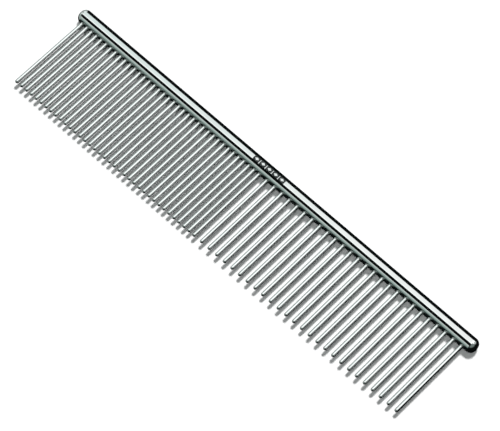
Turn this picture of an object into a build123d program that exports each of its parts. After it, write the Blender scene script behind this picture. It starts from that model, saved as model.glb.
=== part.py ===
from build123d import *
from math import radians, tan
import os

# Steel grooming comb: a solid round steel bar with a single row of straight round
# wire teeth, close together on the -X part of the bar and wider apart on the +X part.
# X runs along the bar, the teeth point towards -Y and Z is up: the row of teeth is
# level, and the bar's underside touches z = 0. The origin is the middle of the
# footprint on that plane. All sizes are in millimetres.

# Row of teeth
fine_count = 37          # teeth at the fine pitch, from the -X end
coarse_count = 26        # teeth at the coarse pitch, up to the +X end
fine_pitch = 2.435       # centre to centre
coarse_pitch = 3.65      # centre to centre, and also the step between the two groups
fine_end_margin = 3.44   # -X end of the bar to the centre of the first fine tooth
coarse_end_margin = 4.5  # centre of the last coarse tooth to the +X end of the bar

# Bar
bar_diameter = 5.6
end_flat = 0.5           # radius of the small flat left in the middle of each rounded end

# Teeth
tooth_diameter = 1.4
free_length = 33.3       # front of the bar to the tip of a tooth
lead_chamfer = 0.2       # on the hidden end, so that the tooth starts into its seat

# Seats: blind drilled holes that the teeth are pressed into
seat_clearance = 0.0     # radial; a pressed tooth touches its seat all round
back_wall = 1.0          # steel left between the drill point and the back of the bar
drill_point_angle = 118  # included angle of the drill point, degrees
seat_gap = 0.3           # air between the tooth's hidden end and the drill point

# Nodes
teeth_per_coarse_node = 2  # coarse teeth are identical, so they share nodes

# Sizes that follow
bar_radius = bar_diameter / 2
tooth_radius = tooth_diameter / 2
seat_radius = tooth_radius + seat_clearance
tooth_reach = bar_radius + free_length                  # bar's axis to the tip
row_length = (fine_count - 1) * fine_pitch + coarse_count * coarse_pitch
bar_length = row_length + fine_end_margin + coarse_end_margin
comb_depth = bar_radius + tooth_reach                   # back of the bar to the tips

drill_point_length = seat_radius / tan(radians(drill_point_angle / 2))
seat_end = bar_radius - back_wall - drill_point_length  # behind the bar's axis
tooth_end = seat_end - seat_gap
tip_centre = tooth_reach - tooth_radius                 # centre of the tip's ball end

# Centre of each tooth along the bar
first_place = -bar_length / 2 + fine_end_margin
fine_places = [first_place + i * fine_pitch for i in range(fine_count)]
coarse_places = [fine_places[-1] + (i + 1) * coarse_pitch for i in range(coarse_count)]

# comb_plane holds the bar's axis and the axes of all the teeth; bar_section cuts the
# bar across the middle
comb_plane = Plane((0, comb_depth / 2 - bar_radius, bar_radius))
bar_section = Plane(comb_plane.origin, x_dir=comb_plane.y_dir, z_dir=comb_plane.x_dir)
middle_tooth_axis = Axis(comb_plane.origin, comb_plane.y_dir)

os.makedirs("parts", exist_ok=True)

# Seat drill: the cutting tool for one seat, at the middle of the bar
with BuildPart() as seat_drill:
    with BuildSketch(comb_plane):
        with BuildLine():
            Polyline(
                (0, -bar_diameter),
                (0, seat_end + drill_point_length),
                (seat_radius, seat_end),
                (seat_radius, -bar_diameter),
                close=True,
            )
        make_face()
    revolve(axis=middle_tooth_axis)

# Bar: a round rod with rounded ends, drilled with one blind seat for each tooth
with BuildPart() as spine:
    with BuildSketch(bar_section):
        Circle(bar_radius)
    extrude(amount=bar_length / 2, both=True)
    fillet(spine.edges().filter_by(GeomType.CIRCLE), radius=bar_radius - end_flat)
    with Locations(*[(place, 0, 0) for place in fine_places + coarse_places]):
        add(seat_drill.part, mode=Mode.SUBTRACT)
spine.part.label = "spine"
export_step(spine.part, "parts/spine.step")

# Tooth: straight round wire with a ball tip and a chamfered hidden end, made once at
# the middle of the bar and copied to every place along it
with BuildPart() as tooth:
    with BuildSketch(comb_plane):
        with BuildLine():
            Polyline(
                (0, -tooth_reach),
                (0, tooth_end),
                (tooth_radius - lead_chamfer, tooth_end),
                (tooth_radius, tooth_end - lead_chamfer),
                (tooth_radius, -tip_centre),
            )
            CenterArc((0, -tip_centre), tooth_radius, start_angle=-90, arc_size=90)
        make_face()
    revolve(axis=middle_tooth_axis)

# Fine teeth: a node for each tooth
for number, place in enumerate(fine_places, start=1):
    with BuildPart() as fine_tooth:
        with Locations((place, 0, 0)):
            add(tooth.part)
    fine_tooth.part.label = f"fine_tooth_{number:02d}"
    export_step(fine_tooth.part, f"parts/{fine_tooth.part.label}.step")

# Coarse teeth: a few neighbours share a node, as separate solids
for number, start in enumerate(range(0, coarse_count, teeth_per_coarse_node), start=1):
    node_places = coarse_places[start:start + teeth_per_coarse_node]
    with BuildPart() as coarse_teeth:
        with Locations(*[(place, 0, 0) for place in node_places]):
            add(tooth.part)
    coarse_teeth.part.label = f"coarse_teeth_{number:02d}"
    export_step(coarse_teeth.part, f"parts/{coarse_teeth.part.label}.step")

print(f"comb {bar_length:.2f} long, {comb_depth:.2f} deep, {bar_diameter:.2f} high")
print(f"seats {bar_radius + seat_end:.2f} deep, teeth seated {bar_radius + tooth_end:.2f}")
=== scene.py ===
from math import cos, pi, radians, sin, sqrt

import bmesh
import bpy
from mathutils import Matrix, Vector


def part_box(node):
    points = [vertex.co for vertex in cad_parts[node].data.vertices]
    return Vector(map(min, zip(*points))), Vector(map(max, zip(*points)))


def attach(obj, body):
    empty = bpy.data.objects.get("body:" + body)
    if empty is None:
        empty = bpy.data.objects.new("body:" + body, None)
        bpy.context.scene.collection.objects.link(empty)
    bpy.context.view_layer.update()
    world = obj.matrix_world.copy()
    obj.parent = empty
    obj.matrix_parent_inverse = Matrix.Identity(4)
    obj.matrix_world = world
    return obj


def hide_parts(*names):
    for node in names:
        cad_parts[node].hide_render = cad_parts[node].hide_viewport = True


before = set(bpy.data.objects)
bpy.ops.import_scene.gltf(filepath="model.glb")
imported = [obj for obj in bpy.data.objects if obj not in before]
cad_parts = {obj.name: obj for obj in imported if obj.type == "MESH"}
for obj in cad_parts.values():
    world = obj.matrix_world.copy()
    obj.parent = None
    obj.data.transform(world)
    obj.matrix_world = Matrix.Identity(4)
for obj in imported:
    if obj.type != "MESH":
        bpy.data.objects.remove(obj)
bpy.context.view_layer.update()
scene = bpy.context.scene
mm = 0.001
tiny = 1e-9             # metres; a ring of a smaller radius closes to a point

# sizes read from the frame
barLow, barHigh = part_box("spine")
firstLow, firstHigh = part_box("fine_tooth_01")
secondLow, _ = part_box("fine_tooth_02")
pairLow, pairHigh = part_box("coarse_teeth_01")

fineNodes = sorted(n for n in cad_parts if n.startswith("fine_tooth_"))
coarseNodes = sorted(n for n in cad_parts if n.startswith("coarse_teeth_"))

barRadius = (barHigh.y - barLow.y) / 2
barAxis = Vector((0, (barLow.y + barHigh.y) / 2, barRadius))
toothRadius = (firstHigh.x - firstLow.x) / 2
toothReach = barAxis.y - firstLow.y        # bar's axis to the tip
hiddenEnd = firstHigh.y - barAxis.y        # how far the tooth goes on past the bar's axis
finePitch = secondLow.x - firstLow.x
coarsePitch = (pairHigh.x - pairLow.x) - 2 * toothRadius
print("frame: bar radius %.2f mm, teeth %d fine and %d coarse" % (
    barRadius / mm, len(fineNodes), 2 * len(coarseNodes)))


def addObject(name, mesh, material=None):
    obj = bpy.data.objects.new(name, mesh)
    scene.collection.objects.link(obj)
    if material:
        mesh.materials.append(material)
    return obj


def smooth(mesh):
    for face in mesh.polygons:
        face.use_smooth = True


def ringMesh(name, rings, segments, place, looped=False):
    # rings: (station, radius) pairs; place turns station, radius and angle into a point
    # looped joins the last ring to the first, as on a washer
    work = bmesh.new()
    loops = []
    for station, radius in rings:
        if radius < tiny:
            points = [place(station, 0, 0)]
        else:
            points = [place(station, radius, 2 * pi * i / segments) for i in range(segments)]
        loops.append([work.verts.new(point) for point in points])
    following = loops[1:] + loops[:1] if looped else loops[1:]
    for a, b in zip(loops, following):
        for i in range(segments):
            j = (i + 1) % segments
            corners = [a[i % len(a)], a[j % len(a)], b[j % len(b)], b[i % len(b)]]
            work.faces.new(list(dict.fromkeys(corners)))
    bmesh.ops.recalc_face_normals(work, faces=work.faces)
    mesh = bpy.data.meshes.new(name)
    work.to_mesh(mesh)
    work.free()
    smooth(mesh)
    return mesh


def node(tree, kind, values=None, **settings):
    made = tree.nodes.new(kind)
    for key, value in settings.items():
        setattr(made, key, value)
    for key, value in (values or {}).items():
        made.inputs[key].default_value = value
    return made


def newMaterial(name):
    material = bpy.data.materials.new(name)
    material.use_nodes = True
    tree = material.node_tree
    return material, tree, tree.nodes["Principled BSDF"]


metalLook = {
    "tint": (0.82, 0.84, 0.83, 1),        # bright plating, a little cool
    "tarnish": (0.75, 0.78, 0.77, 1),
    "hazeSize": 4.0 * mm,
    "hazeSpan": (0.45, 0.8),              # noise values, from clean to tarnished
    "grainLength": 9.0 * mm,
    "grainWidth": 0.09 * mm,
    "grainDepth": 0.0012 * mm,
    "grainStrength": 0.5,
    "roughSpan": (0.7, 1.3),              # haze and grain added up, smoothest to roughest
    "barRough": (0.03, 0.08),
    "toothRough": (0.07, 0.14),
}


def platedMetal(name, grainAxis, roughLow, roughHigh):
    # bright plating over steel: cloudy buffing haze plus fine grain along one axis
    material, tree, shader = newMaterial(name)
    link = tree.links.new
    coords = node(tree, "ShaderNodeTexCoord")
    haze = node(tree, "ShaderNodeTexNoise", {"Scale": 1 / metalLook["hazeSize"], "Detail": 3.0})
    link(coords.outputs["Object"], haze.inputs["Vector"])

    stretch = [1 / metalLook["grainWidth"]] * 3
    stretch["XYZ".index(grainAxis)] = 1 / metalLook["grainLength"]
    mapping = node(tree, "ShaderNodeMapping", {"Scale": stretch})
    grain = node(tree, "ShaderNodeTexNoise", {"Scale": 1.0, "Detail": 2.0, "Roughness": 0.6})
    link(coords.outputs["Object"], mapping.inputs["Vector"])
    link(mapping.outputs["Vector"], grain.inputs["Vector"])

    colour = node(tree, "ShaderNodeMix", data_type="RGBA")
    colour.inputs["A"].default_value = metalLook["tint"]
    colour.inputs["B"].default_value = metalLook["tarnish"]
    clean, tarnished = metalLook["hazeSpan"]
    cloud = node(tree, "ShaderNodeMapRange", {"From Min": clean, "From Max": tarnished})
    link(haze.outputs["Fac"], cloud.inputs["Value"])
    link(cloud.outputs["Result"], colour.inputs["Factor"])
    link(colour.outputs["Result"], shader.inputs["Base Color"])

    both = node(tree, "ShaderNodeMath", operation="ADD")
    link(haze.outputs["Fac"], both.inputs[0])
    link(grain.outputs["Fac"], both.inputs[1])
    smoothest, roughest = metalLook["roughSpan"]
    rough = node(tree, "ShaderNodeMapRange", {
        "From Min": smoothest, "From Max": roughest, "To Min": roughLow, "To Max": roughHigh})
    link(both.outputs["Value"], rough.inputs["Value"])
    link(rough.outputs["Result"], shader.inputs["Roughness"])

    bump = node(tree, "ShaderNodeBump", {
        "Strength": metalLook["grainStrength"], "Distance": metalLook["grainDepth"]})
    link(grain.outputs["Fac"], bump.inputs["Height"])
    link(bump.outputs["Normal"], shader.inputs["Normal"])
    shader.inputs["Metallic"].default_value = 1.0
    return material


barMetal = platedMetal("polishedBarPlating", "X", *metalLook["barRough"])
toothMetal = platedMetal("drawnWirePlating", "Y", *metalLook["toothRough"])


bar = {
    "endFlat": 0.5 * mm,     # radius of the flat in the middle of each end
    "endRings": 16,
    "straightRings": 48,
    "segments": 128,
}


def barRings():
    half = (barHigh.x - barLow.x) / 2
    corner = barRadius - bar["endFlat"]
    end = [(0, 0)]
    for i in range(bar["endRings"] + 1):
        angle = pi / 2 * i / bar["endRings"]
        end.append((corner * (1 - cos(angle)), bar["endFlat"] + corner * sin(angle)))
    left = [(-half + depth, radius) for depth, radius in end]
    right = [(half - depth, radius) for depth, radius in reversed(end)]
    run = 2 * (half - corner)
    count = bar["straightRings"]
    middle = [(-half + corner + run * i / count, barRadius) for i in range(1, count)]
    return left + middle + right


def alongBar(x, radius, angle):
    return Vector((x, barAxis.y + radius * cos(angle), barAxis.z + radius * sin(angle)))


combBar = addObject("combBar", ringMesh("combBar", barRings(), bar["segments"], alongBar), barMetal)
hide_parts("spine")
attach(combBar, "root")
print("bar: %d faces" % len(combBar.data.polygons))


tooth = {
    "tipRings": 8,
    "shankRings": 6,
    "segments": 32,
    "leadChamfer": 0.2 * mm,
    "wander": 0.0012,        # radians that a tooth may stand off true
    "fineSeed": 3,
    "coarseSeed": 8,
}


def toothRings():
    # from the hidden end, inside the bar, to the ball tip; stations run towards the tip
    rings = [(-hiddenEnd, 0), (-hiddenEnd, toothRadius - tooth["leadChamfer"])]
    start = tooth["leadChamfer"] - hiddenEnd
    end = toothReach - toothRadius
    for i in range(tooth["shankRings"] + 1):
        rings.append((start + (end - start) * i / tooth["shankRings"], toothRadius))
    for i in range(1, tooth["tipRings"] + 1):
        angle = pi / 2 * i / tooth["tipRings"]
        rings.append((end + toothRadius * sin(angle), toothRadius * cos(angle)))
    return rings


def alongTooth(station, radius, angle):
    return Vector((radius * cos(angle), -station, radius * sin(angle)))


def makeRowTree():
    # copies a blank along a line; each copy may stand slightly off true
    tree = bpy.data.node_groups.new("toothRow", "GeometryNodeTree")
    inputs = (("Geometry", "Geometry"), ("Blank", "Object"), ("Count", "Int"), ("Start", "Vector"),
              ("Step", "Vector"), ("Wander", "Vector"), ("Seed", "Int"), ("Material", "Material"))
    for name, kind in inputs:
        tree.interface.new_socket(name, in_out="INPUT", socket_type="NodeSocket" + kind)
    tree.interface.new_socket("Geometry", in_out="OUTPUT", socket_type="NodeSocketGeometry")
    given = node(tree, "NodeGroupInput")
    line = node(tree, "GeometryNodeMeshLine", mode="OFFSET")
    blank = node(tree, "GeometryNodeObjectInfo", transform_space="ORIGINAL")
    flip = node(tree, "ShaderNodeVectorMath", operation="SCALE")
    flip.inputs["Scale"].default_value = -1.0
    lean = node(tree, "FunctionNodeRandomValue", data_type="FLOAT_VECTOR")
    copies = node(tree, "GeometryNodeInstanceOnPoints")
    real = node(tree, "GeometryNodeRealizeInstances")
    paint = node(tree, "GeometryNodeSetMaterial")
    result = node(tree, "NodeGroupOutput")
    link = tree.links.new
    link(given.outputs["Count"], line.inputs["Count"])
    link(given.outputs["Start"], line.inputs["Start Location"])
    link(given.outputs["Step"], line.inputs["Offset"])
    link(given.outputs["Blank"], blank.inputs["Object"])
    link(given.outputs["Wander"], flip.inputs[0])
    link(flip.outputs[0], lean.inputs["Min"])
    link(given.outputs["Wander"], lean.inputs["Max"])
    link(given.outputs["Seed"], lean.inputs["Seed"])
    link(line.outputs["Mesh"], copies.inputs["Points"])
    link(blank.outputs["Geometry"], copies.inputs["Instance"])
    link(lean.outputs["Value"], copies.inputs["Rotation"])
    link(copies.outputs["Instances"], real.inputs["Geometry"])
    link(real.outputs["Geometry"], paint.inputs["Geometry"])
    link(given.outputs["Material"], paint.inputs["Material"])
    link(paint.outputs["Geometry"], result.inputs["Geometry"])
    return tree


def growRow(name, values):
    # runs the row tree with these values and keeps its result as a plain mesh
    obj = addObject(name, bpy.data.meshes.new(name))
    modifier = obj.modifiers.new("row", "NODES")
    modifier.node_group = rowTree
    for socket in rowTree.interface.items_tree:
        if socket.in_out == "INPUT" and socket.name in values:
            modifier[socket.identifier] = values[socket.name]
    bpy.context.view_layer.update()
    done = obj.evaluated_get(bpy.context.evaluated_depsgraph_get())
    mesh = bpy.data.meshes.new_from_object(done)
    obj.modifiers.remove(modifier)
    obj.data = mesh
    mesh.name = name
    smooth(mesh)
    return obj


def rowStart(x):
    # where a row begins, on the bar's axis
    return (x, barAxis.y, barAxis.z)


rowTree = makeRowTree()
toothBlank = addObject("toothBlank", ringMesh("toothBlank", toothRings(), tooth["segments"], alongTooth))
wander = (tooth["wander"], 0.0, tooth["wander"])   # about X and Z, not about the tooth itself
straight = (0.0, 0.0, 0.0)                         # for copies that all stand true
fineStart = firstLow.x + toothRadius
coarseStart = pairLow.x + toothRadius
fineTeeth = growRow("fineTeeth", {
    "Blank": toothBlank, "Count": len(fineNodes), "Start": rowStart(fineStart),
    "Step": (finePitch, 0.0, 0.0), "Wander": wander, "Seed": tooth["fineSeed"], "Material": toothMetal})
coarseTeeth = growRow("coarseTeeth", {
    "Blank": toothBlank, "Count": 2 * len(coarseNodes), "Start": rowStart(coarseStart),
    "Step": (coarsePitch, 0.0, 0.0), "Wander": wander, "Seed": tooth["coarseSeed"], "Material": toothMetal})
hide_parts(*fineNodes)
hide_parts(*coarseNodes)
for row in (fineTeeth, coarseTeeth):
    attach(row, "root")
print("teeth: %d and %d faces" % (len(fineTeeth.data.polygons), len(coarseTeeth.data.polygons)))


# the plating's small fillets, where each tooth enters the bar
collar = {
    "reach": 0.16 * mm,      # how far the plating builds up along the tooth and the bar
    "hiddenShare": 0.8,      # the hidden ring, as a share of the tooth's radius
    "arcSteps": 5,
    "segments": 24,
}


def collarRings():
    # a concave wall from the tooth out to the bar, closed by a hidden ring inside both
    rings = []
    for i in range(collar["arcSteps"] + 1):
        angle = pi / 2 * i / collar["arcSteps"]
        lift = collar["reach"] * (1 - sin(angle))
        rings.append((lift, toothRadius + collar["reach"] * (1 - cos(angle))))
    return rings + [(-collar["reach"], toothRadius * collar["hiddenShare"])]


def aroundSeat(lift, radius, angle):
    # the bar's round front, pushed out by lift, at this distance from the tooth's axis
    x, z = radius * cos(angle), radius * sin(angle)
    return Vector((x, -sqrt(barRadius ** 2 - z ** 2) - lift, z))


collarMesh = ringMesh("collarBlank", collarRings(), collar["segments"], aroundSeat, looped=True)
collarBlank = addObject("collarBlank", collarMesh)
for name, count, start, pitch in (
        ("fineCollars", len(fineNodes), fineStart, finePitch),
        ("coarseCollars", 2 * len(coarseNodes), coarseStart, coarsePitch)):
    ring = growRow(name, {
        "Blank": collarBlank, "Count": count, "Start": rowStart(start), "Step": (pitch, 0.0, 0.0),
        "Wander": straight, "Seed": 0, "Material": barMetal})
    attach(ring, "root")
for blank in (toothBlank, collarBlank):
    bpy.data.objects.remove(blank)
print("collars: done")


# the etched ornament on top of the bar
ornament = {
    "middle": -1.9 * mm,     # along the bar, over the step from fine to coarse
    "lean": 3.0,             # degrees off the top, towards the back
    "plates": 5,
    "platePitch": 3.0 * mm,
    "plateLength": 2.75 * mm,
    "plateHeight": 1.9 * mm,
    "opening": 0.62,         # the lozenge left bright, as a share of the plate
    "lift": 0.006 * mm,      # just proud, so that it isn't lost in the bar's surface
    "sink": 0.03 * mm,       # how far its sides go down into the bar
    "topSteps": 4,
    "segments": 32,
}


def onPlate(lift, share, angle):
    # a plate wrapped on the top of the bar, square at its edge and a lozenge at its opening
    inner = ornament["opening"]
    blend = (share - inner) / (1 - inner)
    lozenge = 1 / (abs(cos(angle)) + abs(sin(angle)))
    square = 1 / max(abs(cos(angle)), abs(sin(angle)))
    reach = share * ((1 - blend) * lozenge + blend * square)
    arc = reach * sin(angle) * ornament["plateHeight"] / 2 / barRadius + radians(ornament["lean"])
    radius = barRadius + lift
    x = reach * cos(angle) * ornament["plateLength"] / 2
    return Vector((x, radius * sin(arc), radius * cos(arc)))


etchLook = {
    "deep": (0.012, 0.015, 0.015, 1),
    "worn": (0.045, 0.05, 0.05, 1),
    "speckleSize": 0.15 * mm,
    "rough": (0.45, 0.7),
    "metallic": 0.2,
}


def etchedMetal():
    material, tree, shader = newMaterial("etchedDarkMetal")
    coords = node(tree, "ShaderNodeTexCoord")
    speckle = node(tree, "ShaderNodeTexNoise", {"Scale": 1 / etchLook["speckleSize"], "Detail": 4.0})
    shade = node(tree, "ShaderNodeMix", data_type="RGBA")
    shade.inputs["A"].default_value = etchLook["deep"]
    shade.inputs["B"].default_value = etchLook["worn"]
    smoothest, roughest = etchLook["rough"]
    rough = node(tree, "ShaderNodeMapRange", {"To Min": smoothest, "To Max": roughest})
    tree.links.new(coords.outputs["Object"], speckle.inputs["Vector"])
    tree.links.new(speckle.outputs["Fac"], shade.inputs["Factor"])
    tree.links.new(shade.outputs["Result"], shader.inputs["Base Color"])
    tree.links.new(speckle.outputs["Fac"], rough.inputs["Value"])
    tree.links.new(rough.outputs["Result"], shader.inputs["Roughness"])
    shader.inputs["Metallic"].default_value = etchLook["metallic"]
    return material


def plateRings():
    lift, sink, inner = ornament["lift"], -ornament["sink"], ornament["opening"]
    steps = ornament["topSteps"]
    top = [(lift, 1 - (1 - inner) * i / steps) for i in range(steps + 1)]
    return top + [(sink, inner), (sink, 1)]


plateMesh = ringMesh("plateBlank", plateRings(), ornament["segments"], onPlate, looped=True)
plateBlank = addObject("plateBlank", plateMesh)
barOrnament = growRow("barOrnament", {
    "Blank": plateBlank, "Count": ornament["plates"],
    "Start": rowStart(ornament["middle"] - (ornament["plates"] - 1) * ornament["platePitch"] / 2),
    "Step": (ornament["platePitch"], 0.0, 0.0), "Wander": straight, "Seed": 0,
    "Material": etchedMetal()})
bpy.data.objects.remove(plateBlank)
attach(barOrnament, "root")
print("ornament: %d faces" % len(barOrnament.data.polygons))


paper = {
    "halfSize": 20.0,                                 # metres, from the middle to each edge
    "colour": (0.80, 0.80, 0.80, 1),
}


def makeFloor():
    far = paper["halfSize"]
    mesh = bpy.data.meshes.new("studioFloor")
    corners = [(-far, -far, 0), (far, -far, 0), (far, far, 0), (-far, far, 0)]
    mesh.from_pydata(corners, [], [(0, 1, 2, 3)])
    material, _, shader = newMaterial("studioPaper")
    shader.inputs["Base Color"].default_value = paper["colour"]
    shader.inputs["Roughness"].default_value = 1.0
    shader.inputs["Specular IOR Level"].default_value = 0.0
    floor = addObject("studioFloor", mesh, material)
    floor.visible_glossy = False                     # the metal mirrors the studio only


makeFloor()


studio = {
    # where each thing stands, as seen from the comb. "front" angles climb from the
    # horizon on the -Y side over the top, "side" angles from the +X side over the top
    "softboxFront": (78.6, 144.6),
    "softboxSide": (28.0, 149.0),
    "softboxNear": (1.56, 1.59, 1.59, 1),             # its +X part
    "softboxMiddle": (1.06, 1.07, 1.07, 1),
    "softboxFar": (0.86, 0.95, 0.94, 1),              # its -X end, a little dimmer
    "softboxRim": (1.20, 1.23, 1.22, 1),              # a brighter strip along its -Y edge
    "softboxRimEnd": 92.0,
    "softboxFades": ((-0.06, -0.18), (-0.26, -0.37)), # X of the direction, near to middle to far
    "cardSpan": (-90.0, 180.0),                       # front angles that the ramp of stops covers
    "cardStops": (                                    # front angle, colour of the front card
        (-14.0, (0.004, 0.006, 0.006, 1)),
        (-5.0, (0.03, 0.045, 0.042, 1)),
        (2.0, (0.14, 0.20, 0.185, 1)),
        (10.0, (0.32, 0.41, 0.385, 1)),
        (22.0, (0.39, 0.47, 0.445, 1)),
        (32.0, (0.62, 0.69, 0.665, 1)),
        (38.8, (0.72, 0.79, 0.765, 1)),
        (39.8, (0.003, 0.004, 0.004, 1)),
    ),
    "dark": (0.003, 0.004, 0.004, 1),
    "rightFade": (0.78, 0.38),                        # X of the direction, from dark to full light
    "sideCard": (0.36, 0.39, 0.38, 1),
    "sideCardStart": (-0.44, -0.50),                  # X of the direction
    "sideCardTop": (24.0, 22.0),                      # degrees up, from none to all
    "sideCardFoot": (-38.0, -25.0),
    "toothBand": (0.18, 0.24, 0.42, 0.48),            # Y of the direction, where the teeth look
    "endCardFront": (0.36, 0.42, 0.40, 1),
    "endCardBack": (0.88, 0.94, 0.93, 1),
    "endCardTurn": (-0.14, -0.04),                    # Y of the direction, front to back
    "endFrontFoot": (-24.0, -14.0),
    "endBackTop": (50.0, 38.0),
    "endBackFoot": (-2.0, 10.0),
    "rightCardFront": (0.17, 0.21, 0.20, 1),
    "rightCardBack": (0.62, 0.66, 0.65, 1),
    "rightCardTurn": (0.45, 0.62),                    # Y of the direction, front to back
    "rightCardStart": (0.14, 0.30),                   # X of the direction
    "rightCardFoot": (14.0, 30.0),
    "cardFade": (0.05, -0.15),                        # X of the direction, from dark to all
    "edge": 1.2,                                      # degrees over which an edge fades
    "haze": 0.05,                                     # what the floor gets from all round
    "backdrop": (1, 1, 1, 1),                         # seen past the floor's far edge
}

lamps = {
    # name: the way its light travels, strength, degrees across, colour
    "keyLight": ((0.44, -1.24, -2.8), 3.7, 12.0, (1.0, 1.0, 1.0)),
    "fillLight": ((-0.20, 0.329, -0.896), 0.91, 20.0, (0.955, 1.0, 0.993)),
}


def makeStudio():
    world = bpy.data.worlds.new("studio")
    scene.world = world
    world.use_nodes = True
    tree = world.node_tree
    tree.nodes.clear()
    link = tree.links.new
    coords = node(tree, "ShaderNodeTexCoord")
    axes = node(tree, "ShaderNodeSeparateXYZ")
    link(coords.outputs["Generated"], axes.inputs[0])

    def angle(up, along, flip):
        # the angle of a direction, about the third axis
        turned = node(tree, "ShaderNodeMath", operation="MULTIPLY")
        turned.inputs[1].default_value = -1.0 if flip else 1.0
        link(axes.outputs[along], turned.inputs[0])
        found = node(tree, "ShaderNodeMath", operation="ARCTAN2")
        link(axes.outputs[up], found.inputs[0])
        link(turned.outputs[0], found.inputs[1])
        return found.outputs[0]

    def step(axis, start, end):
        # from 0 to 1 as this part of the direction goes from start to end
        found = node(tree, "ShaderNodeMapRange", {"From Min": start, "From Max": end})
        link(axes.outputs[axis], found.inputs["Value"])
        return found.outputs["Result"]

    def climb(key):
        # from 0 to 1 between the two heights, given in degrees
        return step("Z", *(sin(radians(height)) for height in studio[key]))

    def times(a, b):
        product = node(tree, "ShaderNodeMath", operation="MULTIPLY")
        link(a, product.inputs[0])
        link(b, product.inputs[1])
        return product.outputs[0]

    def gate(value, low, high):
        # 1 between two angles, given in degrees, and 0 outside them
        half = radians(studio["edge"]) / 2

        def fade(middle, before, after):
            made = node(tree, "ShaderNodeMapRange", {
                "From Min": radians(middle) - half, "From Max": radians(middle) + half,
                "To Min": before, "To Max": after}, interpolation_type="SMOOTHSTEP")
            link(value, made.inputs["Value"])
            return made.outputs["Result"]

        return times(fade(low, 0.0, 1.0), fade(high, 1.0, 0.0))

    def over(below, above, factor):
        mix = node(tree, "ShaderNodeMix", data_type="RGBA")
        for name, value in (("A", below), ("B", above)):
            if isinstance(value, tuple):
                mix.inputs[name].default_value = value
            else:
                link(value, mix.inputs[name])
        link(factor, mix.inputs["Factor"])
        return mix.outputs["Result"]

    front = angle("Z", "Y", True)
    side = angle("Z", "X", False)

    # the front card, as a ramp of colours up the -Y side
    lowest, highest = studio["cardSpan"]
    share = node(tree, "ShaderNodeMapRange", {"From Min": radians(lowest), "From Max": radians(highest)})
    link(front, share.inputs["Value"])
    card = node(tree, "ShaderNodeValToRGB")
    stops = card.color_ramp.elements
    readyStops = len(stops)
    for index, (degrees, colour) in enumerate(studio["cardStops"]):
        place = (degrees - lowest) / (highest - lowest)
        stop = stops[index] if index < readyStops else stops.new(place)
        stop.position = place
        stop.color = colour
    link(share.outputs["Result"], card.inputs["Fac"])
    frontCard = over(studio["dark"], card.outputs["Color"], step("X", *studio["cardFade"]))

    # the softbox overhead, in three parts along X, with its brighter strip
    softbox = studio["softboxNear"]
    for key, fades in zip(("softboxMiddle", "softboxFar"), studio["softboxFades"]):
        softbox = over(softbox, studio[key], step("X", *fades))
    rim = gate(front, studio["softboxFront"][0], studio["softboxRimEnd"])
    softbox = over(softbox, studio["softboxRim"], rim)
    inBox = times(gate(front, *studio["softboxFront"]), gate(side, *studio["softboxSide"]))
    light = over(frontCard, softbox, inBox)
    light = over(studio["dark"], light, step("X", *studio["rightFade"]))

    # the teeth look into a narrow band of directions; the bar's ends look into the rest
    start, firm, loose, end = studio["toothBand"]
    band = times(step("Y", start, firm), step("Y", end, loose))
    rest = node(tree, "ShaderNodeMath", operation="SUBTRACT")
    rest.inputs[0].default_value = 1.0
    link(band, rest.inputs[1])
    outside = rest.outputs[0]

    left = step("X", *studio["sideCardStart"])
    sideCard = times(times(left, band), times(climb("sideCardTop"), climb("sideCardFoot")))
    light = over(light, studio["sideCard"], sideCard)
    leftEnd = times(left, outside)
    endFront = times(climb("sideCardTop"), climb("endFrontFoot"))
    light = over(light, studio["endCardFront"], times(leftEnd, endFront))
    endBack = times(climb("endBackTop"), climb("endBackFoot"))
    endBack = times(times(leftEnd, endBack), step("Y", *studio["endCardTurn"]))
    light = over(light, studio["endCardBack"], endBack)

    rightEnd = times(times(step("X", *studio["rightCardStart"]), outside), climb("rightCardFoot"))
    rightTurn = step("Y", *studio["rightCardTurn"])
    rightCard = over(studio["rightCardFront"], studio["rightCardBack"], rightTurn)
    light = over(light, rightCard, rightEnd)

    rays = node(tree, "ShaderNodeLightPath")
    haze = (studio["haze"],) * 3 + (1,)
    light = over(light, haze, rays.outputs["Is Diffuse Ray"])
    light = over(light, studio["backdrop"], rays.outputs["Is Camera Ray"])
    background = node(tree, "ShaderNodeBackground")
    link(light, background.inputs["Color"])
    link(background.outputs[0], node(tree, "ShaderNodeOutputWorld").inputs["Surface"])


def addLamp(name, travels, strength, width, colour):
    light = bpy.data.lights.new(name, "SUN")
    light.energy = strength
    light.angle = radians(width)
    light.color = colour
    lamp = bpy.data.objects.new(name, light)
    lamp.rotation_euler = Vector(travels).to_track_quat("-Z", "Y").to_euler()
    lamp.visible_glossy = False                       # the metal's highlights are the studio's alone
    scene.collection.objects.link(lamp)


makeStudio()
for name, values in lamps.items():
    addLamp(name, *values)
print("studio: done")


shot = {
    "azimuth": 42.70,                                 # degrees round from the -Y side
    "elevation": 63.54,
    "roll": 1.03,
    "distance": 1.0169,                               # metres
    "lens": 210.62,
    "sensorWidth": 36.0,
    "clipStart": 0.01,
    "aim": (4.65 * mm, 0.05 * mm, 2.8 * mm),
}


def makeCamera():
    turn, climb, roll = (radians(shot[key]) for key in ("azimuth", "elevation", "roll"))
    back = Vector((sin(turn) * cos(climb), -cos(turn) * cos(climb), sin(climb)))
    level = Vector((cos(turn), sin(turn), 0))
    upright = back.cross(level)
    right = cos(roll) * level + sin(roll) * upright
    up = back.cross(right)
    data = bpy.data.cameras.new("mainCamera")
    data.lens = shot["lens"]
    data.sensor_width = shot["sensorWidth"]
    data.clip_start = shot["clipStart"]
    camera = bpy.data.objects.new("mainCamera", data)
    place = Matrix((right, up, back)).transposed().to_4x4()
    place.translation = Vector(shot["aim"]) + back * shot["distance"]
    camera.matrix_world = place
    scene.collection.objects.link(camera)
    scene.camera = camera


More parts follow.
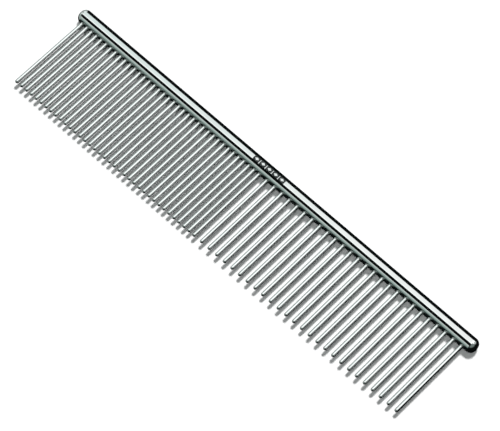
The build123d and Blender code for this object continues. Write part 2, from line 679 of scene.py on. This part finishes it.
makeCamera()
scene.view_settings.view_transform = "Standard"
